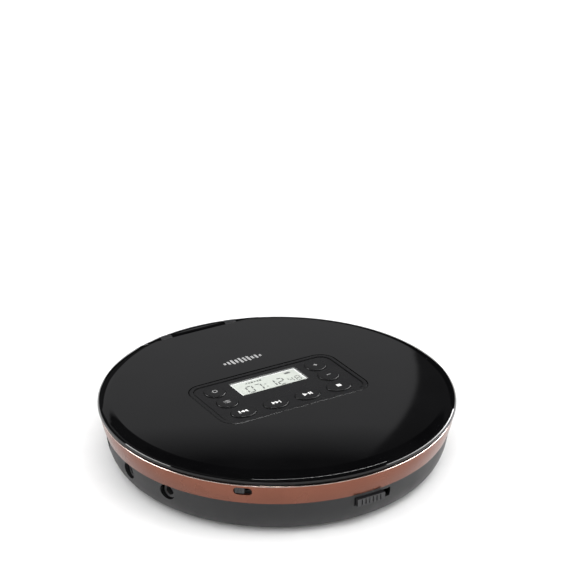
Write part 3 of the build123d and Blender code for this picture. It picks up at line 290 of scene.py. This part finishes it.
x, y, top = middle("button_previous")
printed("mark_previous", [rectangle(x - 1.75, y, 0.42, 1.9), triangle(x - 0.55, y, -1.5, 1.9),
                          triangle(x + 0.95, y, -1.5, 1.9)], top, print_white, BODY_OF["button_previous"])
x, y, top = middle("button_next")
printed("mark_next", [rectangle(x + 1.75, y, 0.42, 1.9), triangle(x + 0.55, y, 1.5, 1.9),
                      triangle(x - 0.95, y, 1.5, 1.9)], top, print_white, BODY_OF["button_next"])
x, y, top = middle("button_play")
printed("mark_play", [triangle(x - 1.0, y, 1.8, 2.1), rectangle(x + 0.75, y, 0.5, 1.9),
                      rectangle(x + 1.65, y, 0.5, 1.9)], top, print_white, BODY_OF["button_play"])
x, y, top = middle("button_stop")
printed("mark_stop", [rectangle(x, y, 1.8, 1.7)], top, print_white, BODY_OF["button_stop"])
x, y, top = middle("button_mode")
printed("mark_mode", [arc_band(x, y, 0.95, 0.26, 20, 165), arc_band(x, y, 0.95, 0.26, 200, 345),
                      [(x - 1.35, y + 0.1), (x - 0.5, y + 0.1), (x - 0.92, y - 0.45)],
                      [(x + 0.5, y - 0.1), (x + 1.35, y - 0.1), (x + 0.92, y + 0.45)]],
        top, print_grey, BODY_OF["button_mode"])
x, y, top = middle("button_program")
printed("mark_program", [rectangle(x + 0.25, y + d, 1.9, 0.26) for d in (-0.75, 0, 0.75)]
        + [rectangle(x - 1.15, y + d, 0.3, 0.3) for d in (-0.75, 0, 0.75)],
        top, print_grey, BODY_OF["button_program"])
x, y, top = middle("button_volume_down")
printed("mark_volume_down", [rectangle(x, y, 1.7, 0.32)], top, print_grey, BODY_OF["button_volume_down"])
x, y, top = middle("button_volume_up")
THIN, ARM = 0.16, 0.85  # half width of the plus sign's strokes, and half their length
plus = [(THIN, THIN), (THIN, ARM), (-THIN, ARM), (-THIN, THIN), (-ARM, THIN), (-ARM, -THIN), (-THIN, -THIN),
        (-THIN, -ARM), (THIN, -ARM), (THIN, -THIN), (ARM, -THIN), (ARM, THIN)]
printed("mark_volume_up", [[(x + a, y + b) for a, b in plus]], top, print_grey, BODY_OF["button_volume_up"])

# ------------------------------------------------------------------ display

DISPLAY_X = (lens_low.x + lens_high.x) / 2 / MM
DISPLAY_Y = (lens_low.y + lens_high.y) / 2 / MM
DISPLAY_W = (lens_high.x - lens_low.x) / MM
DISPLAY_H = (lens_high.y - lens_low.y) / MM
FACE_Z = module_high.z

FRAME = 1.5  # both sides of the white frame together, in millimetres
FIELD_THICK = 0.02
printed("display_field", [rectangle(DISPLAY_X, DISPLAY_Y, DISPLAY_W - FRAME, DISPLAY_H - FRAME)],
        FACE_Z, lcd_field, "lid", FIELD_THICK)

SEGMENTS = {"0": "abcdef", "1": "bc", "2": "abged", "4": "fgbc", "7": "abc", "8": "abcdefg"}


def digit(x, y, figure, wide, high, bar, lean=0.07):
    """Leaning seven-segment digit with its lower left corner at x, y, in millimetres."""
    half, thick = high / 2, bar / 2
    flat = {"a": high, "g": half, "d": 0}
    tall = {"f": (0, half), "b": (wide, half), "e": (0, 0), "c": (wide, 0)}
    shapes = []
    for segment in SEGMENTS[figure]:
        if segment in flat:
            level, near, far = flat[segment], 0.25, wide - 0.25
            shapes.append([(near, level), (near + thick, level + thick), (far - thick, level + thick),
                           (far, level), (far - thick, level - thick), (near + thick, level - thick)])
        else:
            across, foot = tall[segment]
            low, top = foot + 0.2, foot + half - 0.2
            shapes.append([(across, low), (across + thick, low + thick), (across + thick, top - thick),
                           (across, top), (across - thick, top - thick), (across - thick, low + thick)])
    return [[(x + a + lean * b, y + b) for a, b in shape] for shape in shapes]


ink = []
left, low_edge = DISPLAY_X - DISPLAY_W / 2, DISPLAY_Y - DISPLAY_H / 2
DIGITS_Y, MARKS_Y = low_edge + 1.5, low_edge + DISPLAY_H - 2.4
for start, figure in ((4.2, "0"), (8.2, "7"), (14.0, "1"), (18.0, "2")):
    ink += digit(left + start, DIGITS_Y, figure, 2.6, 4.9, 0.56)
for start, figure in ((22.6, "4"), (25.8, "8")):
    ink += digit(left + start, DIGITS_Y, figure, 1.9, 3.5, 0.42)
# the two dots between the digits
for dot in (2.9, 5.0):
    ink.append(rectangle(left + 12.9, low_edge + dot, 0.6, 0.6))
# small generic marks along the top of the display: a row of bars, and a battery with its tip
for k in range(6):
    ink.append(rectangle(left + 6.6 + 1.25 * k, MARKS_Y, 0.85, 0.6 + 0.24 * (k % 3)))
ink.append(rectangle(left + 25.0, MARKS_Y, 2.3, 1.2))
ink.append(rectangle(left + 26.45, MARKS_Y, 0.35, 0.6))
printed("display_figures", ink, FACE_Z + FIELD_THICK * MM, lcd_ink, "lid", 0.012)

# ------------------------------------------------------------------ generic wave mark on the lid


def dome_height(x, y):
    """Height of the lid's top at a place near its middle, in metres."""
    hit, place, _, _ = nodes["lid_shell"].ray_cast(Vector((x * MM, y * MM, 1)), Vector((0, 0, -1)))
    return place.z if hit else lid_high.z


WAVE_LEFT, WAVE_STEP, WAVE_Y, BAR_WIDTH = -7.6, 1.8, 28, 1.0
BAR_HEIGHTS = (1.4, 2.6, 3.9, 2.9, 4.5, 3.4, 4.1, 2.2, 3.1, 1.3)
bars = [rectangle(WAVE_LEFT + WAVE_STEP * k, WAVE_Y, BAR_WIDTH, high) for k, high in enumerate(BAR_HEIGHTS)]
printed("wave_mark", bars, 0, print_grey, "lid", 0.02, shape=dome_height)

# ------------------------------------------------------------------ ribbon from the lid to the base

ribbon_low, ribbon_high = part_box("display_ribbon")
half_width = (ribbon_high.x - ribbon_low.x) / 2
# Y and Z in metres, from the lid's board back over the hinge and down to the main board
route = [(0.01745, 0.0256), (0.024, 0.0256), (0.030, 0.02555), (0.034, 0.02518), (0.038, 0.02475),
         (0.042, 0.02432), (0.045, 0.02412), (0.050, 0.0241), (0.055, 0.0241), (0.058, 0.0241),
         (0.060, 0.0241), (0.0611, 0.0241), (0.0618, 0.02405), (0.0623, 0.0238), (0.06255, 0.0234),
         (0.06265, 0.0229), (0.06265, 0.022), (0.06265, 0.021), (0.06265, 0.0198), (0.06265, 0.01845)]
RIBBON_COLUMNS = 8
bm = bmesh.new()
rows = []
for y, z in route:
    across = [half_width * (2 * k / RIBBON_COLUMNS - 1) for k in range(RIBBON_COLUMNS + 1)]
    rows.append([bm.verts.new((x, y, z)) for x in across])
for a, b in zip(rows, rows[1:]):
    for k in range(RIBBON_COLUMNS):
        bm.faces.new((a[k], a[k + 1], b[k + 1], b[k]))
bmesh.ops.recalc_face_normals(bm, faces=bm.faces[:])
ribbon = link_bmesh("ribbon_flex", bm, ribbon_white)
thick = ribbon.modifiers.new("thick", "SOLIDIFY")
thick.thickness = 0.16 * MM
thick.offset = 0
bpy.context.view_layer.objects.active = ribbon
with bpy.context.temp_override(object=ribbon, active_object=ribbon, selected_objects=[ribbon]):
    bpy.ops.object.modifier_apply(modifier=thick.name)
for polygon in ribbon.data.polygons:
    polygon.use_smooth = True
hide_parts("display_ribbon")
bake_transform(ribbon)

# ------------------------------------------------------------------ painted highlight on the band's top edge: a ring of lighter metal stands in for the light its rounded edge catches


def ring_of(name, profile, look, body, segments=288):
    """A full ring about the Z axis from a closed profile of radii and heights in millimetres."""
    bm = bmesh.new()
    loops = []
    for step in range(segments):
        a = 2 * math.pi * step / segments
        spoke = Vector((math.cos(a), math.sin(a), 0)) * MM
        loops.append([bm.verts.new(spoke * r + Vector((0, 0, z * MM))) for r, z in profile])
    for step, loop in enumerate(loops):
        following = loops[(step + 1) % segments]
        for k in range(len(profile)):
            after = (k + 1) % len(profile)
            bm.faces.new((loop[k], loop[after], following[after], following[k]))
    bmesh.ops.recalc_face_normals(bm, faces=bm.faces[:])
    for face in bm.faces:
        face.smooth = True
    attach(link_bmesh(name, bm, look), body)


band_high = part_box("side_band")[1]
RIM_INSET, RIM_ROUND, RIM_STEPS = 0.5, 0.53, 8  # the rounding stands just proud of the band's own edge
rim_r, rim_z = band_high.x / MM - RIM_INSET, band_high.z / MM - RIM_INSET
rim_profile = []
for step in range(RIM_STEPS + 1):
    a = math.radians(90 * step / RIM_STEPS)
    rim_profile.append((rim_r + RIM_ROUND * math.cos(a), rim_z + RIM_ROUND * math.sin(a)))
rim_profile.append((rim_r, rim_z))
ring_of("band_rim_painted_highlight", rim_profile, painted_highlight_metal, BODY_OF["side_band"])

# ------------------------------------------------------------------ spring behind the release slide

coil = nodes["latch_spring"].data.copy()
coil.transform(nodes["latch_spring"].matrix_world)
coil.materials.clear()
spring = link("latch_spring_flex", coil, steel)
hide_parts("latch_spring")
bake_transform(spring)

# ------------------------------------------------------------------ floor, light and camera

FLOOR_RADIUS = 8
bm = bmesh.new()
bmesh.ops.create_circle(bm, cap_ends=True, segments=96, radius=FLOOR_RADIUS)
pale = surface("pale_floor", (0.84, 0.84, 0.84), 0.01, (0.55, 0.6), 3.0, 0.01)
floor = link_bmesh("floor", bm, pale)
floor.location = (0, 0.15, 0)

CARD = 0.40  # brightness of the card that the lid's top mirrors
DARK = 0.15  # share of the world's light that is left past the card's right-hand edge
world = bpy.data.worlds.new("studio")
bpy.context.scene.world = world
world.use_nodes = True
sky = world.node_tree
background = sky.nodes["Background"]


def sky_math(operation, first, constant, third=None):
    """A maths node: the operation on a socket, a constant and, where it takes one, a third socket."""
    made = sky.nodes.new("ShaderNodeMath")
    made.operation = operation
    made.inputs[1].default_value = constant
    sky.links.new(first, made.inputs[0])
    if third:
        sky.links.new(third, made.inputs[2])
    return made.outputs["Value"]


direction = sky.nodes.new("ShaderNodeTexCoord")
split = sky.nodes.new("ShaderNodeSeparateXYZ")
height = sky.nodes.new("ShaderNodeValToRGB")
sky.links.new(direction.outputs["Generated"], split.inputs["Vector"])
sky.links.new(split.outputs["Z"], height.inputs["Fac"])
# The card ends on the right in a rounded edge, past which the lid mirrors black. A direction lies past it
# when its share along CAMERA_RIGHT, plus CARD_ROUND times (its height less CARD_MIDDLE) squared, is over
# CARD_EDGE.
CARD_EDGE, CARD_MIDDLE, CARD_ROUND = 0.078, 0.437, 5.3
EDGE_BLUR = 0.0015
CAMERA_RIGHT = (0.858, -0.5134, 0)
aside = sky.nodes.new("ShaderNodeVectorMath")
aside.operation = "DOT_PRODUCT"
aside.inputs[1].default_value = CAMERA_RIGHT
sky.links.new(direction.outputs["Generated"], aside.inputs[0])
squared = sky_math("POWER", sky_math("SUBTRACT", split.outputs["Z"], CARD_MIDDLE), 2)
rounded = sky_math("MULTIPLY_ADD", squared, CARD_ROUND, aside.outputs["Value"])
edge = sky.nodes.new("ShaderNodeMapRange")
edge.inputs["From Min"].default_value = CARD_EDGE - EDGE_BLUR
edge.inputs["From Max"].default_value = CARD_EDGE + EDGE_BLUR
edge.inputs["To Min"].default_value = 1.0
edge.inputs["To Max"].default_value = DARK
sky.links.new(rounded, edge.inputs["Value"])
both = sky.nodes.new("ShaderNodeMix")
both.data_type = "RGBA"
both.blend_type = "MULTIPLY"
both.inputs["Factor"].default_value = 1.0
# sockets 6, 7 and 2 are the colour ones: the two colours that go in, and the one that comes out
sky.links.new(height.outputs["Color"], both.inputs[6])
sky.links.new(edge.outputs["Result"], both.inputs[7])
sky.links.new(both.outputs[2], background.inputs["Color"])
# brightness by height, from the horizon at 0 to straight up at 1, with the card between 0.378 and 0.485
stops = height.color_ramp.elements
stops[0].position, stops[0].color = 0.0, (0.05, 0.05, 0.05, 1)
stops[1].position, stops[1].color = 0.365, (0.04, 0.04, 0.04, 1)
for where, level in ((0.378, CARD), (0.485, CARD), (0.515, 0.02), (1.0, 0.03)):
    stop = stops.new(where)
    stop.color = (level, level, level * 1.02, 1)
background.inputs["Strength"].default_value = 1.0


def area(name, place, aim, size, watts, glossy):
    """A rectangular light that faces aim; only where glossy is set does it show in reflections."""
    lamp = bpy.data.lights.new(name, "AREA")
    lamp.shape = "RECTANGLE"
    lamp.size, lamp.size_y = size
    lamp.energy = watts
    made = bpy.data.objects.new(name, lamp)
    bpy.context.scene.collection.objects.link(made)
    made.location = place
    made.rotation_euler = (Vector(aim) - Vector(place)).to_track_quat("-Z", "Y").to_euler()
    made.visible_camera = False
    made.visible_glossy = glossy


area("soft_top", (0, 0, 1.6), (0, 0, 0), (5.0, 5.0), 125, False)
area("soft_front", (-0.9, -1.2, 0.9), (0, 0, 0), (1.2, 0.9), 10, False)
area("strip_right", (0.87, -0.30, 0.10), (0, 0, 0.02), (1.3, 0.17), 11, True)
area("strip_left", (-0.85, 0.35, 0.11), (0, 0, 0.02), (0.6, 0.16), 4, True)
area("strip_front", (0.05, -0.75, 1.25), (0, 0, 0.02), (1.9, 0.06), 9, True)

# the camera: turned about Z from the front, lifted above the floor, and this far from the target
turn, lift, distance = math.radians(-30.89), math.radians(24.17), 0.80507
HALF_VIEW = math.radians(8)
back = Vector((math.sin(turn) * math.cos(lift), -math.cos(turn) * math.cos(lift), math.sin(lift)))
right = Vector((math.cos(turn), math.sin(turn), 0))
up = back.cross(right)
target = Vector((0, 0, RIM_Z)) + right * 0.004876 + up * 0.041694
lens_data = bpy.data.cameras.new("camera")
lens_data.sensor_width = 36
lens_data.lens = lens_data.sensor_width / 2 / math.tan(HALF_VIEW)
lens_data.clip_end = 20
camera = bpy.data.objects.new("camera", lens_data)
bpy.context.scene.collection.objects.link(camera)
axes = Matrix((right, up, back)).transposed().to_4x4()
axes.translation = target + back * distance
camera.matrix_world = axes
bpy.context.scene.camera = camera
bpy.context.scene.view_settings.view_transform = "Standard"
